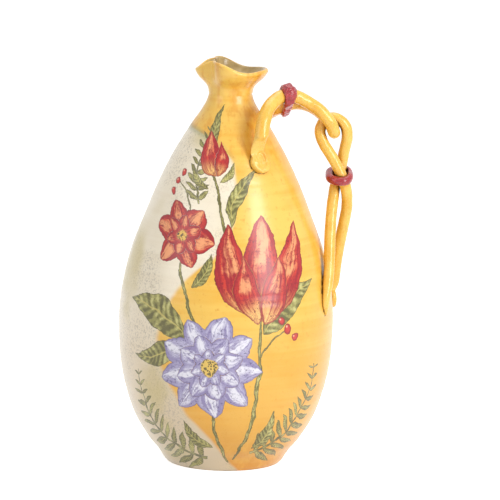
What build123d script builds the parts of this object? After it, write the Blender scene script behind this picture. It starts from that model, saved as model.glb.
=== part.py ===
from build123d import *
import os
from math import cos, exp, radians, sin, sqrt, tan

# A glazed jug with a pinched beak. Its handle is two bent rolls of clay, one
# through the other like chain links and tied with red clay. Sizes are in
# millimetres. The pot's axis is Z, and the handle stands on its +X side.

# Pot
foot_radius = 46.5
belly_radius = 86.0
belly_height = 110.0
neck_radius = 17.3
neck_height = 297.0
pot_wall = 4.5
foot_rounding = 1.5
join_drop = 13.0

# Lip, which opens from the round neck and is pinched to a beak on the side away from the handle.
# Its rises are above the neck's narrowest place.
lip_radius = 30.0
lip_wall = 3.2
beak_pinch = 12.0
beak_side = 142.0
beak_pinch_width = 22.0
beak_tip_rise = 19.5
beak_crest_rise = 27.0
dip_rise = 18.4
lip_tip_rise = 19.9

# Upper roll, which leaves the pot in front, turns round the lower one and comes back behind.
# The neck's narrowest place and the belly's radius are what its places are measured from.
arch_root_diameter = 11.6
arch_turn_diameter = 9.8
arch_root_drop = 50.3
arch_root_side = 58.4
crown_rise = 1.4
interlock_inset = 3.0
interlock_drop = 29.6

# Lower roll, which hangs its loop through the upper one and crosses itself below it. Its
# roots are measured from the belly's widest place.
link_diameter = 9.1
tail_diameter = 5.6
crossing_overhang = 2.9
crossing_drop = 64.0
tail_lift = 17.0
tail_side = 22.0
link_root_lift = 21.0
link_root_side = 12.0

# Pressed pads at the roots of the rolls
pad_diameter = 17.0
pad_thickness = 4.2
pad_rounding = 1.8
stamp_length = 10.0
stamp_width = 7.6
stamp_depth = 0.8

# Red ties
band_width = 8.0
band_thickness = 3.6
band_rounding = 1.4
knot_length = 13.2
knot_diameter = 14.2
knot_rise = 3.2
ring_slack = 3.3
ring_thickness = 4.2
ring_height = 7.0
ring_rounding = 1.9
ring_tilt = 14.0

# Fits and cuts
roll_gap = 0.6
seat_depth = 1.4
overrun = 10.0

# Outline of the pot below and above its widest place. Each pair is the share of the way
# out from the foot or the neck to the belly, and the share of the way up.
lower_outline_shares = ((0.165, 0.091), (0.375, 0.182), (0.77, 0.455))
upper_outline_shares = ((0.916, 0.267), (0.718, 0.481), (0.470, 0.695), (0.221, 0.856), (0.036, 0.963))

# Each pair is a level's share of the way from the neck to the beak's tip, and the lip's flare there
flare_shares = ((0.26, 0.09), (0.46, 0.34), (0.69, 0.72), (1.0, 1.0), (1.6, 1.17))

# The rim's low and high places across the mouth, as shares of the lip's radius
rim_shares = (-1.3, -1.0, -0.52, 0.42, 1.03, 1.3)

# Route of the upper roll, front and back: shares of the way out to the interlock, of the
# root's distance from the middle plane, and of the way up to the crown
front_rise_shares = (
    (0.007, 1.17, 0.20), (0.02, 1.09, 0.55), (0.09, 0.85, 0.85),
    (0.26, 0.50, 1.0), (0.464, 0.33, 0.99), (0.625, 0.25, 0.89),
)
back_rise_shares = (
    (0.558, 0.115, 0.835), (0.405, -0.076, 0.845), (0.26, -0.064, 0.78), (0.146, 0.356, 0.673),
    (0.06, 0.814, 0.567), (0.019, 1.107, 0.393), (0.002, 1.16, 0.18),
)
# Its turn round the lower roll, as shares of the least distance between their centre lines
turn_shares = (
    (-1.2, -1.0, 1.9), (-0.3, -1.0, 0.9), (0.0, -0.54, 0.0),
    (-0.02, 0.54, 0.0), (-0.5, 1.03, 0.95), (-1.6, 1.0, 1.8),
)
# Runs of the upper roll that the tie holds, counted from its front root
front_tied_run = 4
back_tied_run = 14

# Route of the lower roll: its loop, as shares of the same least distance from the interlock
loop_shares = (
    (1.09, 0.15, -0.34), (0.93, 0.0, 0.625), (0.12, 0.0, 1.225),
    (-0.81, 0.0, 1.025), (-1.2, -0.1, 0.11), (-0.89, -0.25, -0.75),
)
# Its crossing, as shares of its diameter from the middle of the ring
back_crossing_shares = ((-0.43, 0.44, -0.88), (0.03, 0.62, 0.44), (0.25, 0.5, 1.87))
front_crossing_shares = ((-0.87, -0.5, 1.81), (-0.03, -0.61, 0.38), (0.59, -0.33, -1.21))
# Its legs, as shares of the way from the middle of the ring to their roots on the pot
tail_leg_shares = ((0.94, 1.125, 0.892), (0.70, 0.88, 0.714), (0.69, 0.53, 0.479), (0.58, 0.19, 0.235))
pad_leg_shares = ((-1.07, 0.226, 0.265), (-0.28, 0.51, 0.5), (0.28, 0.79, 0.716), (0.456, 0.96, 0.873))
# How much of the way from the tail's diameter to the roll's is reached at its first places
tail_taper_shares = (0.0, 0.5, 0.9)

# Each bend of a roll takes this share of the shorter run beside it
bend_share = 0.45
# A roll ends this share of a pad's diameter above the pad's middle
pad_reach_share = 0.2
# The ends of a strap are rounded to this share of half its opening's narrow side
strap_end_share = 0.98
# How often the pot's profile is halved to find a height on it
halvings = 26

# Levels and places that more than one piece follows
join_height = neck_height - join_drop
arch_root_height = neck_height - arch_root_drop
interlock = Vector(belly_radius - interlock_inset, 0, neck_height - interlock_drop)
crossing = Vector(belly_radius + crossing_overhang, 0, neck_height - crossing_drop)
tail_height = belly_height + tail_lift
link_root_height = belly_height + link_root_lift


def outline():
    """The pot's outer profile from the foot to the neck's narrowest place, in the XZ plane."""
    girth = belly_radius - foot_radius
    shoulder = belly_radius - neck_radius
    rise = neck_height - belly_height
    points = [(foot_radius, 0, 0)]
    points += [(foot_radius + girth * out, 0, belly_height * up) for out, up in lower_outline_shares]
    points += [(belly_radius, 0, belly_height)]
    points += [
        (neck_radius + shoulder * out, 0, belly_height + rise * up) for out, up in upper_outline_shares
    ]
    points += [(neck_radius, 0, neck_height)]
    return Spline(*points)


profile = outline()


def radius_at(height):
    """The pot's outer radius at a height, found by halving the profile."""
    low, high = 0.0, 1.0
    for _ in range(halvings):
        middle = (low + high) / 2
        if (profile @ middle).Z < height:
            low = middle
        else:
            high = middle
    return (profile @ low).X


def slope_at(height):
    """How fast the pot's radius falls with height."""
    step = pot_wall / 4
    return (radius_at(height - step) - radius_at(height + step)) / (2 * step)


def on_pot(height, side, lift=0.0):
    """A plane on the pot's outer face, facing outwards, side degrees round from the handle."""
    out = Vector(cos(radians(side)), sin(radians(side)), 0)
    normal = (out + Vector(0, 0, slope_at(height))).normalized()
    place = out * radius_at(height) + Vector(0, 0, height) + normal * lift
    across = Vector(-sin(radians(side)), cos(radians(side)), 0)
    return Plane(origin=place, x_dir=across, z_dir=normal)


def pot_block():
    """The pot below the join as a full solid, which also cuts the rolls and pads to their seats."""
    half = make_face([
        profile,
        Line((neck_radius, 0, neck_height), (0, 0, neck_height)),
        Line((0, 0, neck_height), (0, 0, 0)),
        Line((0, 0, 0), (foot_radius, 0, 0)),
    ])
    below = split(half, bisect_by=Plane.XY.offset(join_height), keep=Keep.BOTTOM)
    return revolve(below, Axis.Z)


def belly(block):
    """The thrown wall from the foot to the join, open at the top."""
    shell = offset(block, amount=-pot_wall, openings=block.faces().sort_by(Axis.Z)[-1])
    foot_edge = shell.faces().sort_by(Axis.Z)[0].outer_wire().edges()
    return fillet(foot_edge, foot_rounding)


def neck_slice(height, base, flare, inset):
    """A level slice of the neck or lip. The flare draws it in towards the beak."""
    points = []
    for turn in range(0, 360, 15):
        away = min(turn, 360 - turn)
        pinch = beak_pinch * exp(-(((away - beak_side) / beak_pinch_width) ** 2))
        radius = base + flare * (lip_radius - pinch - base) - inset
        points.append((radius * cos(radians(turn)), radius * sin(radians(turn)), height))
    return make_face(Spline(*points, periodic=True))


def neck_form(hollow):
    """The neck and lip from the join to above the rim: the outside, or the hollow within it."""
    slices = []
    for share in (0.0, 0.5, 1.0):
        height = join_height + (neck_height - join_height) * share
        wall = pot_wall * sqrt(1 + slope_at(height) ** 2)
        slices.append(neck_slice(height, radius_at(height), 0.0, wall * hollow))
    for level, flare in flare_shares:
        height = neck_height + beak_tip_rise * level
        wall = pot_wall + (lip_wall - pot_wall) * min(level, 1.0)
        slices.append(neck_slice(height, neck_radius, flare, wall * hollow))
    return loft(slices)


def above_rim():
    """What is cut away above the rim's wave. The wave runs across the mouth from beak to handle."""
    rises = (beak_tip_rise, beak_tip_rise, beak_crest_rise, dip_rise, lip_tip_rise, lip_tip_rise)
    points = [(lip_radius * share, 0, neck_height + rise) for share, rise in zip(rim_shares, rises)]
    wave = Spline(*points)
    top = neck_height + beak_crest_rise + lip_radius
    first, last = points[0], points[-1]
    face = make_face([
        wave,
        Line(last, (last[0], 0, top)),
        Line((last[0], 0, top), (first[0], 0, top)),
        Line((first[0], 0, top), first),
    ])
    return extrude(face, amount=lip_radius + overrun, dir=(0, 1, 0), both=True)


def neck_and_lip():
    """The collar on the belly, with its pinched beak."""
    return neck_form(0) - neck_form(1) - above_rim()


def between(start, end, shares):
    """A place given by its shares of the way from start to end along X, Y and Z."""
    way = end - start
    return start + Vector(way.X * shares[0], way.Y * shares[1], way.Z * shares[2])


def arch_route():
    """Corner points of the upper roll, from its front root to its back root."""
    turn_gap = (arch_turn_diameter + link_diameter) / 2 + roll_gap
    legs = []
    for side, shares in ((-arch_root_side, front_rise_shares), (arch_root_side, back_rise_shares)):
        root = on_pot(arch_root_height, side).origin
        base = Vector(root.X, 0, root.Z)
        crown = Vector(interlock.X, root.Y, neck_height + crown_rise)
        end = on_pot(arch_root_height + pad_diameter * pad_reach_share, side, -seat_depth).origin
        legs.append((end, [between(base, crown, share) for share in shares]))
    turn = [interlock + Vector(*share) * turn_gap for share in turn_shares]
    (front_end, front), (back_end, back) = legs
    return [front_end] + front + turn + back + [back_end]


def link_route():
    """Corner points of the lower roll, from the tip of its tail to its pad."""
    turn_gap = (arch_turn_diameter + link_diameter) / 2 + roll_gap
    tail = on_pot(tail_height, -tail_side, -seat_depth).origin
    root = on_pot(link_root_height, link_root_side).origin
    end = on_pot(link_root_height + pad_diameter * pad_reach_share, link_root_side, -seat_depth).origin
    points = [tail]
    points += [between(crossing, tail, share) for share in tail_leg_shares]
    points += [crossing + Vector(*share) * link_diameter for share in back_crossing_shares]
    points += [interlock + Vector(*share) * turn_gap for share in loop_shares]
    points += [crossing + Vector(*share) * link_diameter for share in front_crossing_shares]
    points += [between(crossing, root, share) for share in pad_leg_shares]
    return points + [end]


def arch_diameters(count):
    """The upper roll's diameter at each of its points: thick at both roots, thin at its turn."""
    thinning = arch_root_diameter - arch_turn_diameter
    return [arch_turn_diameter + thinning * abs(2 * place / (count - 1) - 1) for place in range(count)]


def link_diameters(count):
    """The lower roll's diameter at each of its points: even, with a thin tail."""
    tail = [tail_diameter + (link_diameter - tail_diameter) * share for share in tail_taper_shares]
    return tail + [link_diameter] * (count - len(tail))


def straight_run(start, end, start_diameter, end_diameter):
    """A stretch of roll between two bends."""
    plane = Plane(origin=start, z_dir=end - start)
    length = (end - start).length
    if start_diameter == end_diameter:
        return Solid.make_cylinder(start_diameter / 2, length, plane)
    return Solid.make_cone(start_diameter / 2, end_diameter / 2, length, plane)


def roll(points, diameters):
    """A round roll of clay along the points, with round ends. It thins along its straight runs."""
    pieces = [Pos(points[0]) * Sphere(diameters[0] / 2)]
    start, start_diameter = points[0], diameters[0]
    for before, corner, after, diameter in zip(points, points[1:], points[2:], diameters[1:]):
        reach = bend_share * min((before - corner).length, (after - corner).length)
        heading = (corner - before).normalized()
        onwards = (after - corner).normalized()
        bend_angle = heading.get_angle(onwards)
        bend_radius = reach / tan(radians(bend_angle) / 2)
        bend_start = corner - heading * reach
        inwards = (onwards - heading * heading.dot(onwards)).normalized()
        bend_axis = Axis(bend_start + inwards * bend_radius, heading.cross(inwards))
        slice_plane = Plane(origin=bend_start, z_dir=heading)
        pieces.append(straight_run(start, bend_start, start_diameter, diameter))
        pieces.append(revolve(slice_plane * Circle(diameter / 2), bend_axis, bend_angle))
        start, start_diameter = corner + onwards * reach, diameter
    pieces.append(straight_run(start, points[-1], start_diameter, diameters[-1]))
    pieces.append(Pos(points[-1]) * Sphere(diameters[-1] / 2))
    return pieces[0].fuse(*pieces[1:])


def pad(height, side, block):
    """A dab of clay pressed over the end of a roll, with a stamped oval in its middle."""
    seat = on_pot(height, side)
    disc = extrude(seat.offset(-pot_wall) * Circle(pad_diameter / 2), amount=pot_wall + pad_thickness)
    face = disc.faces().sort_by(Axis(seat.origin, seat.z_dir))[-1]
    disc = fillet(face.edges(), pad_rounding)
    oval = seat.offset(pad_thickness - stamp_depth) * Ellipse(stamp_width / 2, stamp_length / 2)
    return disc - extrude(oval, amount=overrun) - block


def strap(length, breadth, thickness, height, rounding):
    """A flat strip of clay bent to an oval round Z. The length and breadth are its opening's."""
    outer_length = length + 2 * thickness
    outer_breadth = breadth + 2 * thickness
    corner = min(length, breadth) / 2 * strap_end_share
    outer = extrude(RectangleRounded(outer_length, outer_breadth, corner + thickness), height / 2, both=True)
    rims = outer.faces().sort_by(Axis.Z)[0].edges() + outer.faces().sort_by(Axis.Z)[-1].edges()
    outer = fillet(rims, rounding)
    return outer - extrude(RectangleRounded(length, breadth, corner), height, both=True)


def run_middle(points, run):
    """The middle of a run of a roll, and the way it points."""
    return (points[run] + points[run + 1]) / 2, (points[run + 1] - points[run]).normalized()


def arch_ties(points, diameters, arch):
    """The band round both strands of the upper roll, and the knot pressed over the front one."""
    front, front_way = run_middle(points, front_tied_run)
    back, back_way = run_middle(points, back_tied_run)
    outwards = (front - back).normalized()
    along = front_way - back_way
    along = (along - outwards * along.dot(outwards)).normalized()
    roll_diameter = diameters[front_tied_run]
    form = Location(Plane(origin=front + outwards * knot_rise, x_dir=front_way, z_dir=outwards))
    half = split(Ellipse(knot_length / 2, knot_diameter / 2), bisect_by=Plane.XZ)
    knot = form * revolve(half, Axis.X)
    opening = (front - back).length + roll_diameter + roll_gap
    place = Location(Plane(origin=(front + back) / 2, x_dir=outwards, z_dir=along))
    band = place * strap(opening, roll_diameter + roll_gap, band_thickness, band_width, band_rounding)
    return band - arch - knot, knot - arch


def link_ring(link):
    """The ring round the crossing of the lower roll, its front tipped down."""
    depth = 2 * link_diameter + 3 * roll_gap
    ring = strap(link_diameter + ring_slack, depth, ring_thickness, ring_height, ring_rounding)
    return Pos(crossing) * Rot(X=ring_tilt) * ring - link


def build():
    """Every piece of the jug by its node's name."""
    block = pot_block()
    pads = {
        "front_root_pad": pad(arch_root_height, -arch_root_side, block),
        "back_root_pad": pad(arch_root_height, arch_root_side, block),
        "link_root_pad": pad(link_root_height, link_root_side, block),
    }
    arch_points = arch_route()
    arch_sizes = arch_diameters(len(arch_points))
    arch = roll(arch_points, arch_sizes) - block - pads["front_root_pad"] - pads["back_root_pad"]
    link_points = link_route()
    link = roll(link_points, link_diameters(len(link_points))) - block - pads["link_root_pad"]
    band, knot = arch_ties(arch_points, arch_sizes, arch)
    return {
        "belly": belly(block),
        "neck_and_lip": neck_and_lip(),
        "arch_coil": arch,
        "link_coil": link,
        "arch_tie_band": band,
        "arch_tie_knot": knot,
        "link_tie_ring": link_ring(link),
        **pads,
    }


os.makedirs("parts", exist_ok=True)
for node, piece in build().items():
    export_step(piece, f"parts/{node}.step")
    print(node, len(piece.solids()), round(piece.volume), piece.bounding_box())
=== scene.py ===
from functools import cache
from math import atan2, cos, exp, pi, radians, sin, sqrt

import bmesh
import bpy
from bpy.props import FloatProperty, FloatVectorProperty, IntProperty, PointerProperty
from mathutils import Matrix, Vector, noise
from mathutils.bvhtree import BVHTree


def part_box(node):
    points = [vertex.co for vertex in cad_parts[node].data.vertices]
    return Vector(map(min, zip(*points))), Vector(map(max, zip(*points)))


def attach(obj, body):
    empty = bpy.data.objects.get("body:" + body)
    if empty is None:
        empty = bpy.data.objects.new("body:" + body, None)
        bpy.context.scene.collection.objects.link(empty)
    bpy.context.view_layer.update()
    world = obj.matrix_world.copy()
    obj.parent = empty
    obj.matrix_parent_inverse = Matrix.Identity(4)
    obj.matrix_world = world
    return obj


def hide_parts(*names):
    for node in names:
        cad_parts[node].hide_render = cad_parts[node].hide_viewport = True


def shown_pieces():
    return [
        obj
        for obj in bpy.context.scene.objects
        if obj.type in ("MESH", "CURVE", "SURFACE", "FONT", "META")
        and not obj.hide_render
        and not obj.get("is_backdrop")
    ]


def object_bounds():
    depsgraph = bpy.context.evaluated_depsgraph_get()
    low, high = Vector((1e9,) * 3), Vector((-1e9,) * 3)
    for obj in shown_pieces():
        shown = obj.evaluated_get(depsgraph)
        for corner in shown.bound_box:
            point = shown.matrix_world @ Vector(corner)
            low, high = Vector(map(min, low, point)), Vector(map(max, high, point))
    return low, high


bl_info = {
    "name": "Glazed jug with a linked handle",
    "version": (1, 0, 0),
    "blender": (4, 5, 0),
    "location": "3D View > Sidebar > Jug",
    "description": "Models and glazes a pinched jug whose handle is two linked rolls of clay",
    "category": "Object",
}

# The frame is in metres. The pot's axis is Z, its handle is on +X and its painted side faces -Y.
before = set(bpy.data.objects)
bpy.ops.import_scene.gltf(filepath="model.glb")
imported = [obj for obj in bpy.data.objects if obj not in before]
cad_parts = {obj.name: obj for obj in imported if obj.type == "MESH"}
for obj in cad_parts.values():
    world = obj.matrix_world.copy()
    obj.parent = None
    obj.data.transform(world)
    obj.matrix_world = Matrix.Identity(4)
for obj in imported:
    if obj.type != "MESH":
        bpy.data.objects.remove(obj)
cad_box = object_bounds()
MM = 0.001
EPSILON = 1e-6

# Outline of the pot below and above its widest place. Each pair is the share of the way
# out from the foot or the neck to the belly, and the share of the way up.
lower_outline_shares = ((0.165, 0.091), (0.375, 0.182), (0.77, 0.455))
upper_outline_shares = ((0.916, 0.267), (0.718, 0.481), (0.470, 0.695), (0.221, 0.856), (0.036, 0.963))

# Each pair is a level's share of the way from the neck to the beak's tip, and the lip's flare there
flare_shares = ((0.0, 0.0), (0.26, 0.09), (0.46, 0.34), (0.69, 0.72), (1.0, 1.0), (1.6, 1.17))

# Each pair is a place across the mouth and the rim's rise there, as shares of the lip's radius
# and of the rise of the beak's crest
rim_wave_shares = ((-1.3, 0.722), (-1.0, 0.722), (-0.52, 1.0), (0.42, 0.681), (1.03, 0.737), (1.3, 0.737))

# The edge between the two grounds: each pair is a share of the painted height and the
# edge's place across, as a share of the belly's reach
ground_edge_shares = ((0.0, 0.14), (0.08, -0.10), (0.20, -0.44), (0.34, -0.60), (0.46, -0.46),
                      (0.60, 0.02), (0.74, 0.05), (0.80, -0.12), (0.87, -0.48), (1.0, -0.60))
painted_height = 325 * MM
belly_reach = 86 * MM

# How far apart the rows of the pot's mesh are on its wall, collar, throat and lining
wall_spacing, collar_spacing, throat_spacing, lining_spacing = 1.25 * MM, 0.9 * MM, 1.2 * MM, 4 * MM
foot_rounding = 1.5 * MM

# How often the rolls are smoothed after they are grown together with their pads
roll_smoothing = 9

# What a place outside a frond's rows is sunk by, and the least half width that a stroke is shared by
far_outside = 10 * MM
least_half_width = 0.1 * MM


def length_property(name, description, default):
    """A length that a user may change."""
    return FloatProperty(name=name, description=description, default=default,
                         unit="LENGTH", subtype="DISTANCE")


def angle_property(name, description, degrees):
    """An angle that a user may change."""
    return FloatProperty(name=name, description=description, default=radians(degrees),
                         unit="ROTATION", subtype="ANGLE")


def colour_property(name, description, colour):
    """A colour that a user may change."""
    return FloatVectorProperty(name=name, description=description, size=3, subtype="COLOR",
                               min=0.0, max=1.0, default=colour)


class JugPotSizes(bpy.types.PropertyGroup):
    """Sizes of the thrown pot."""
    belly_height: length_property("Belly height", "Height of the widest place", 0.110)
    foot_radius: length_property("Foot radius", "Radius of the flat foot", 0.0465)
    neck_radius: length_property("Neck radius", "Radius of the neck's narrowest place", 0.0173)
    neck_height: length_property("Neck height", "Height of the neck's narrowest place", 0.297)
    wall: length_property("Wall", "Thickness of the pot's wall", 0.0045)
    lip_wall: length_property("Lip wall", "Thickness of the lip", 0.0038)
    lip_radius: length_property("Lip radius", "Radius of the open lip", 0.030)
    beak_rise: length_property("Beak rise", "Height of the beak's tip above the neck", 0.0195)
    crest_rise: length_property("Crest rise", "Height of the rim's crests above the neck", 0.027)
    pinch: length_property("Pinch", "How far the lip is pinched in beside the beak", 0.0108)
    pinch_side: angle_property("Pinch side", "Where the pinch is, round from the handle", 142)
    pinch_width: angle_property("Pinch width", "How wide the pinch is", 25)
    ring_relief: length_property("Ring relief", "Height of the throwing rings", 0.00016)
    rounds: IntProperty(name="Rounds", description="Steps round the pot", default=192, min=24)


class JugClaySizes(bpy.types.PropertyGroup):
    """How finely the rolls, pads and ties are worked."""
    roll_grain: length_property("Roll grain", "Mesh size of the rolls", 0.00055)
    tie_grain: length_property("Tie grain", "Mesh size of the red ties", 0.00036)
    stamp_length: length_property("Stamp length", "Height of the stamped oval", 0.0104)
    stamp_width: length_property("Stamp width", "Width of the stamped oval", 0.0080)
    stamp_depth: length_property("Stamp depth", "Depth of the stamped oval", 0.0008)
    stamp_lift: length_property("Stamp lift", "Height of the oval above the pad's middle", 0.0028)
    crevice_reach: length_property("Crevice reach", "How near a neighbour makes a crevice", 0.006)


class JugColours(bpy.types.PropertyGroup):
    """Glaze colours, as linear light."""
    ochre: colour_property("Ochre", "Yellow glaze", (0.88, 0.48, 0.060))
    ochre_pale: colour_property("Pale ochre", "Yellow glaze where it runs thin", (0.92, 0.58, 0.11))
    # Deep ochre also paints shade low on the pot and, with pooled glaze, in the handle's crevices.
    ochre_deep: colour_property("Deep ochre", "Yellow glaze where it pools", (0.74, 0.30, 0.025))
    cream: colour_property("Cream", "Cream glaze", (0.92, 0.82, 0.64))
    # Grey cream: the cream turns greyer towards the foot, and in faint bands.
    cream_grey: colour_property("Grey cream", "Cream glaze over grey slip", (0.76, 0.62, 0.43))
    stain: colour_property("Stain", "Olive stain in the cream glaze", (0.60, 0.48, 0.17))
    # Brown darkens the crevices: partly pooled glaze, partly painted shade.
    brown: colour_property("Brown", "Glaze in the crevices", (0.16, 0.06, 0.012))
    crimson: colour_property("Crimson", "Red glaze of the ties", (0.40, 0.016, 0.024))
    # A lighter red, laid in random clouds on the ties as painted highlights.
    crimson_highlight: colour_property("Thin crimson", "Red glaze over the lumps", (0.62, 0.075, 0.075))
    # Deep crimson: sponged dark spots, and the crevices' pooled glaze and painted shade.
    crimson_deep: colour_property("Deep crimson", "Red glaze in the crevices", (0.12, 0.008, 0.016))
    clay: colour_property("Clay", "Bare clay of the foot", (0.52, 0.36, 0.22))


def settings():
    """The scene's jug settings."""
    scene = bpy.context.scene
    return scene.jug_pot, scene.jug_clay, scene.jug_colours


def between(pairs, place):
    """The value at a place in a table of pairs, with an even slope from each to the next."""
    if place <= pairs[0][0]:
        return pairs[0][1]
    for (low, start), (high, end) in zip(pairs, pairs[1:]):
        if place <= high:
            share = (place - low) / (high - low)
            return start + (end - start) * share
    return pairs[-1][1]


def eased(share):
    """A smooth step from 0 to 1."""
    share = min(1.0, max(0.0, share))
    return share * share * (3 - 2 * share)


def smooth_line(points, steps):
    """Points along a smooth curve through the given ones, steps to each span."""
    data = bpy.data.curves.new("jug_line", "CURVE")
    data.dimensions = "3D"
    data.resolution_u = steps
    spline = data.splines.new("BEZIER")
    spline.bezier_points.add(len(points) - 1)
    for knot, point in zip(spline.bezier_points, points):
        knot.co = point
        knot.handle_left_type = knot.handle_right_type = "AUTO"
    holder = bpy.data.objects.new("jug_line", data)
    bpy.context.scene.collection.objects.link(holder)
    bpy.context.view_layer.update()
    mesh = bpy.data.meshes.new_from_object(holder)
    line = [vertex.co.copy() for vertex in mesh.vertices]
    bpy.data.objects.remove(holder)
    bpy.data.curves.remove(data)
    bpy.data.meshes.remove(mesh)
    return line


@cache
def smooth_table(pairs):
    """A table of pairs filled in by a smooth curve through them."""
    line = smooth_line([Vector((place, value, 0)) for place, value in pairs], 12)
    return tuple((point.x, point.y) for point in line)


def evenly(line, spacing):
    """Points at an even spacing along a line."""
    spans = [(b - a).length for a, b in zip(line, line[1:])]
    total = sum(spans)
    count = max(2, round(total / spacing))
    found, walked, span = [line[0]], 0.0, 0
    for step in range(1, count):
        target = total * step / count
        while walked + spans[span] < target:
            walked += spans[span]
            span += 1
        found.append(line[span].lerp(line[span + 1], (target - walked) / spans[span]))
    return found + [line[-1]]


def add_piece(name, mesh, material):
    """A smooth mesh object in the frame, riding on the jug."""
    piece = bpy.data.objects.new(name, mesh)
    bpy.context.scene.collection.objects.link(piece)
    mesh.materials.append(material)
    for polygon in mesh.polygons:
        polygon.use_smooth = True
    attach(piece, "root")
    return piece


def pot_outline(sizes):
    """The pot's outer profile from the foot to the neck's narrowest place."""
    belly_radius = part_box("belly")[1].x
    girth = belly_radius - sizes.foot_radius
    shoulder = belly_radius - sizes.neck_radius
    rise = sizes.neck_height - sizes.belly_height
    points = [Vector((sizes.foot_radius, 0, 0))]
    points += [Vector((sizes.foot_radius + girth * out, 0, sizes.belly_height * up))
               for out, up in lower_outline_shares]
    points += [Vector((belly_radius, 0, sizes.belly_height))]
    points += [Vector((sizes.neck_radius + shoulder * out, 0, sizes.belly_height + rise * up))
               for out, up in upper_outline_shares]
    points += [Vector((sizes.neck_radius, 0, sizes.neck_height))]
    return smooth_line(points, 24)


def inner_outline(outer, wall, floor):
    """The pot's inner profile, a wall's thickness inside the outer one, from the floor up."""
    inner = []
    for before, point, after in zip(outer, outer[1:], outer[2:]):
        way = (after - before).normalized()
        inner.append(point + Vector((-way.z, 0, way.x)) * wall)
    return [point for point in inner if point.z > floor]


def pot_profile(sizes):
    """Three stretches of the pot's section: the foot and outside, the rim, and the inside."""
    outer = pot_outline(sizes)
    flat_foot = sizes.foot_radius - foot_rounding
    foot = [Vector((0, 0, 0)), Vector((flat_foot, 0, 0))]
    foot += [Vector((flat_foot + foot_rounding * sin(radians(angle)), 0,
                     foot_rounding * (1 - cos(radians(angle))))) for angle in (20, 40, 60, 80)]
    wall = [point for point in evenly(outer, wall_spacing) if point.z > foot_rounding]
    half = sizes.lip_wall / 2
    rim_height = sizes.neck_height + sizes.beak_rise - half
    collar = evenly([outer[-1], Vector((sizes.neck_radius, 0, rim_height))], collar_spacing)[1:]
    rim = [Vector((sizes.neck_radius - half + half * cos(radians(angle)), 0,
                   rim_height + half * sin(radians(angle)))) for angle in range(20, 161, 20)]
    throat = evenly([Vector((sizes.neck_radius - sizes.lip_wall, 0, rim_height)),
                     Vector((sizes.neck_radius - sizes.wall, 0, sizes.neck_height - sizes.wall / 4))],
                    throat_spacing)
    lining = evenly(inner_outline(outer, sizes.wall, sizes.wall * 1.6)[::-1], lining_spacing)
    floor = [Vector((lining[-1].x - sizes.wall, 0, sizes.wall)), Vector((0, 0, sizes.wall))]
    return foot + wall + collar, rim, throat + lining[2:] + floor


def spun(profile, steps):
    """A closed pot turned from its profile."""
    shape = bmesh.new()
    verts = [shape.verts.new(point) for point in profile]
    edges = [shape.edges.new(pair) for pair in zip(verts, verts[1:])]
    bmesh.ops.spin(shape, geom=verts + edges, cent=(0, 0, 0), axis=(0, 0, 1), dvec=(0, 0, 0),
                   angle=2 * pi, steps=steps, use_merge=True, use_duplicate=False)
    bmesh.ops.remove_doubles(shape, verts=shape.verts, dist=EPSILON)
    bmesh.ops.recalc_face_normals(shape, faces=shape.faces)
    return shape


def flared(co, sizes):
    """Where a point of the straight collar goes when the lip is flared, pinched and waved."""
    side = atan2(co.y, co.x)
    away = (abs(side) - sizes.pinch_side) / sizes.pinch_width
    open_radius = sizes.lip_radius - sizes.pinch * exp(-away * away)
    wave = between(smooth_table(rim_wave_shares), cos(side) * open_radius / sizes.lip_radius)
    straight = sizes.beak_rise - sizes.lip_wall / 2
    run = min(1.0, (co.z - sizes.neck_height) / straight)
    level = run * (sizes.crest_rise * wave - sizes.lip_wall / 2) / sizes.beak_rise
    flares, little = smooth_table(flare_shares), 0.08
    flare = between(flares, level)
    spread = open_radius - sizes.neck_radius
    steepness = (between(flares, level + little) - flare) / little * spread
    along = Vector((steepness, 0, sizes.beak_rise)).normalized()
    square_to_flare = min(1.0, level / 0.35)
    inwards = Vector((-1, 0, 0)).lerp(Vector((-along.z, 0, along.x)), square_to_flare).normalized()
    depth = sizes.neck_radius - Vector((co.x, co.y)).length
    beyond = max(0.0, co.z - sizes.neck_height - straight)
    edge = Vector((sizes.neck_radius + flare * spread, 0, sizes.neck_height + level * sizes.beak_rise))
    edge += inwards * depth + along * beyond
    return Vector((edge.x * cos(side), edge.x * sin(side), edge.z))


def thrown_relief(co, sizes):
    """How far the wall stands out at a place: rings from the wheel and a slow unevenness."""
    climb = co.z + atan2(co.y, co.x) * 0.35 * MM
    rings = noise.noise(Vector((0.0, 0.0, climb / (3.1 * MM))))
    rings += 0.6 * noise.noise(Vector((5.0, 0.0, climb / (7.5 * MM))))
    slow = 0.22 * MM * noise.noise(co / (45 * MM))
    kept_inside = 0.24 * MM
    return min(1.0, co.z / (14 * MM)) * (sizes.ring_relief * rings + slow - kept_inside)


def make_pot(sizes, material):
    """The thrown pot with its flared, pinched and waved lip, as one glazed shell."""
    outside, rim, inside = pot_profile(sizes)
    shape = spun(outside + rim + inside, sizes.rounds)
    inner_mark = shape.verts.layers.float.new("inner")
    outer_reach = [(point.z, point.x) for point in outside if point.z > EPSILON]
    for vert in shape.verts:
        radius = Vector((vert.co.x, vert.co.y)).length
        depth = (between(outer_reach, vert.co.z) - radius) / sizes.lip_wall
        vert[inner_mark] = min(1.0, max(0.0, depth)) if vert.co.z > sizes.wall * 0.9 else 0.0
        if vert.co.z > sizes.neck_height + EPSILON:
            vert.co = flared(vert.co, sizes)
        elif depth < 0.2 and vert.co.z > EPSILON:
            out = Vector((vert.co.x, vert.co.y, 0)).normalized()
            vert.co += out * thrown_relief(vert.co, sizes)
    mesh = bpy.data.meshes.new("pot")
    shape.to_mesh(mesh)
    shape.free()
    piece = add_piece("pot", mesh, material)
    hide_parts("belly", "neck_and_lip")


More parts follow.
